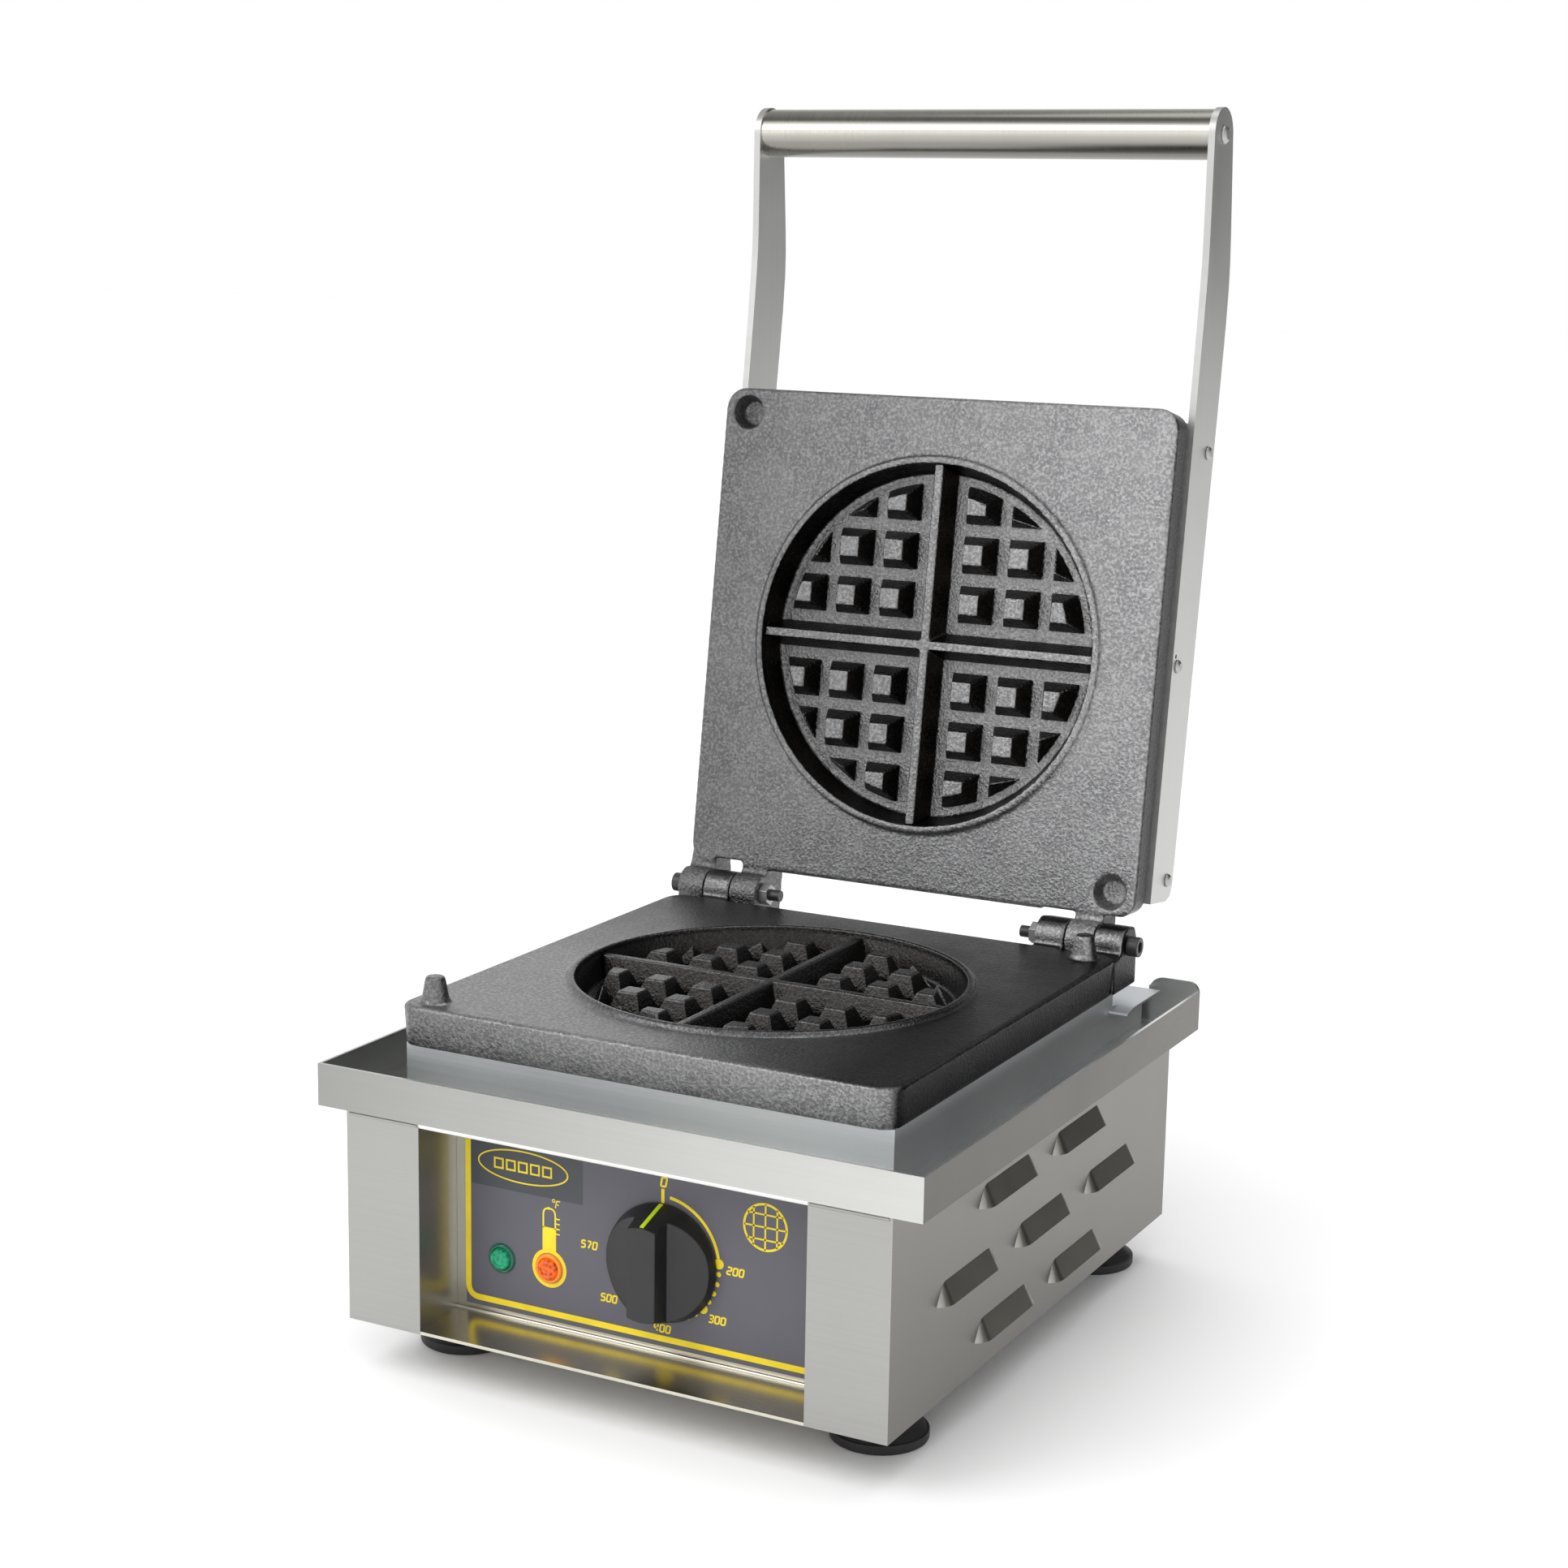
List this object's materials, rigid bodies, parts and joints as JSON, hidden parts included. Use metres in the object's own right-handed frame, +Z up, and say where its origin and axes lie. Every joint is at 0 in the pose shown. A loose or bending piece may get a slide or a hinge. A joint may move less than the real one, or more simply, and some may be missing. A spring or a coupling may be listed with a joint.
{
  "type": "waffle maker",
  "caption": "Countertop electric waffle maker: stainless louvred base with control recess and drip tray, hinged square cast iron plates with a round grid, and a bow handle lid.",
  "frame": {"origin": "middle of the bounding box's underside, on the table, with the lid open as stored", "axes": "+X to the right seen from the control side, +Y to the back, +Z up"},
  "size_m": [0.305, 0.3898, 0.5806],
  "materials": {
    "stainless": "brushed stainless sheet",
    "zinc_steel": "plain zinc plated steel",
    "cast_iron": "seasoned cast iron with an orange peel skin",
    "black_plastic": "satin black moulded",
    "foot_rubber": "matte black",
    "printed_label": "grey polyester film with yellow print",
    "pointer_paint": "yellow green inlay",
    "green_lens": "clear tinted, moulded facets",
    "orange_lens": "clear tinted, moulded facets",
    "white_plastic": "moulded",
    "black_steel": "black oxide"
  },
  "bodies": {
    "base": {"body_side_right": "stainless", "body_side_left": "stainless", "front_rail": "stainless", "back_panel": "stainless", "side_louvres": "stainless", "front_panel": "stainless", "control_label": "printed_label", "base_plate": "zinc_steel", "feet": "foot_rubber", "foot_bolts": "zinc_steel", "drip_tray": "stainless", "skirt": "stainless", "heat_shield": "zinc_steel", "lower_plate": "cast_iron", "lower_grid": "cast_iron", "lower_studs": "zinc_steel", "lower_element": "zinc_steel", "thermostat": "zinc_steel", "lamp_green": "green_lens", "lamp_orange": "orange_lens", "lamp_housings": "white_plastic", "cable_gland": "black_plastic", "terminal_block": "white_plastic", "hinge_bolt_right": "black_steel", "hinge_nut_right": "zinc_steel"},
    "lid": {"upper_plate": "cast_iron", "upper_grid": "cast_iron", "upper_element": "zinc_steel", "lid_studs": "zinc_steel", "lid_casing": "stainless", "lid_gland": "black_plastic", "handle_arms": "stainless", "handle_tube": "stainless", "handle_bolts": "stainless", "arm_screws": "stainless", "hinge_bolt_left": "black_steel", "hinge_nut_left": "zinc_steel"},
    "control": {"control_shaft": "zinc_steel", "knob": "black_plastic", "knob_pointer": "pointer_paint"}
  },
  "joints": [
    {"name": "lid_hinge", "type": "hinge", "parent": "base", "child": "lid", "pos_m": [0, 0.0956, 0.1717], "axis": [1, 0, 0], "range_deg": [0, 98]},
    {"name": "knob_turn", "type": "hinge", "parent": "base", "child": "control", "pos_m": [0.012, -0.1749, 0.0693], "axis": [0, 1, 0], "range_deg": [0, 265]}
  ]
}
